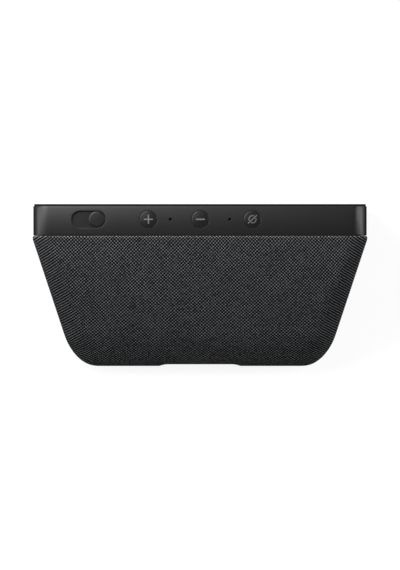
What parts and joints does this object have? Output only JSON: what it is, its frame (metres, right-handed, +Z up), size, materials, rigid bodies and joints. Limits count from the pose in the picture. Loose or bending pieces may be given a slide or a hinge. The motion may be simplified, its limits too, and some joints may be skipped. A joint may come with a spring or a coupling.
{
  "type": "smart speaker",
  "caption": "Bedside smart speaker with a leaning glass display, a bar of push buttons and a sliding camera shutter on top, and a cloth-covered wedge body behind.",
  "frame": {"origin": "middle of the bounding box's underside, on the surface the speaker stands on", "axes": "+X to the right of someone looking at the display, +Y backwards from the display, +Z up"},
  "size_m": [0.148, 0.0746, 0.0858],
  "materials": {
    "bezel": "satin moulded black plastic",
    "buttons": "satin moulded black plastic",
    "cover_glass": "polished black-backed glass",
    "display": "dark display panel",
    "adhesive": "black foam tape",
    "stamped_metal": "plain stamped sheet steel",
    "tin": "tinned steel",
    "circuit_board": "green solder mask",
    "copper": "bare copper",
    "gold_plate": "plated antenna foil",
    "connector": "black moulded connector plastic",
    "dark_shell": "dark moulded shell",
    "blade": "thin black blade",
    "rubber": "black elastomer",
    "ribbon": "flat ribbon cable",
    "speaker_cloth": "charcoal plain-weave acoustic cloth",
    "spider_cloth": "resin-treated cloth",
    "cone_paper": "black pressed paper",
    "ferrite": "ferrite"
  },
  "bodies": {
    "housing": {"antenna_left": "gold_plate", "antenna_right": "gold_plate", "audio_jack": "connector", "base_plate": "dark_shell", "base_screw_1": "tin", "base_screw_2": "tin", "base_screw_3": "tin", "base_screw_4": "tin", "button_board": "circuit_board", "button_cable": "ribbon", "camera_lens": "cover_glass", "camera_module": "connector", "cover_glass": "cover_glass", "display_cable": "ribbon", "display_panel": "display", "driver_basket": "stamped_metal", "driver_gasket": "rubber", "driver_magnet": "ferrite", "driver_spider": "spider_cloth", "driver_surround": "rubber", "driver_yoke": "stamped_metal", "fabric_cover": "speaker_cloth", "foot_pad": "rubber", "frame_screw_1": "tin", "frame_screw_2": "tin", "frame_screw_3": "tin", "frame_screw_4": "tin", "front_bezel": "bezel", "glass_adhesive": "adhesive", "heat_spreader": "copper", "light_sensor": "connector", "main_board": "circuit_board", "mic_off_switch": "connector", "microphone_gasket_left": "rubber", "microphone_gasket_right": "rubber", "microphone_left": "tin", "microphone_right": "tin", "mid_frame": "stamped_metal", "port_board": "circuit_board", "port_cup": "connector", "power_jack": "connector", "processor_shield": "tin", "rear_shell": "dark_shell", "shutter_guide": "dark_shell", "speaker_baffle": "dark_shell", "speaker_chamber": "dark_shell", "usb_port": "tin", "volume_down_switch": "connector", "volume_up_switch": "connector", "wireless_shield": "tin"},
    "shutter": {"shutter_slider": "buttons", "shutter_carriage": "dark_shell", "shutter_blade": "blade"},
    "volume_up": {"volume_up_button": "buttons"},
    "volume_down": {"volume_down_button": "buttons"},
    "mic_off": {"mic_off_button": "buttons"},
    "cone": {"driver_cone": "cone_paper", "voice_coil": "copper"}
  },
  "joints": [
    {"name": "shutter_slide", "type": "slide", "parent": "housing", "child": "shutter", "axis": [1, 0, 0], "range_m": [0, 0.0075]},
    {"name": "volume_up_press", "type": "slide", "parent": "housing", "child": "volume_up", "axis": [0, -0.225, -0.9744], "range_m": [0, 0.0004], "stiffness_N_per_m": 400, "springref_m": -0.0004},
    {"name": "volume_down_press", "type": "slide", "parent": "housing", "child": "volume_down", "axis": [0, -0.225, -0.9744], "range_m": [0, 0.0004], "stiffness_N_per_m": 400, "springref_m": -0.0004},
    {"name": "mic_off_press", "type": "slide", "parent": "housing", "child": "mic_off", "axis": [0, -0.225, -0.9744], "range_m": [0, 0.0004], "stiffness_N_per_m": 400, "springref_m": -0.0004},
    {"name": "cone_travel", "type": "slide", "parent": "housing", "child": "cone", "axis": [0, 0.8338, 0.5521], "range_m": [-0.0012, 0.0012], "stiffness_N_per_m": 900, "deforming": ["driver_surround", "driver_spider"]}
  ]
}
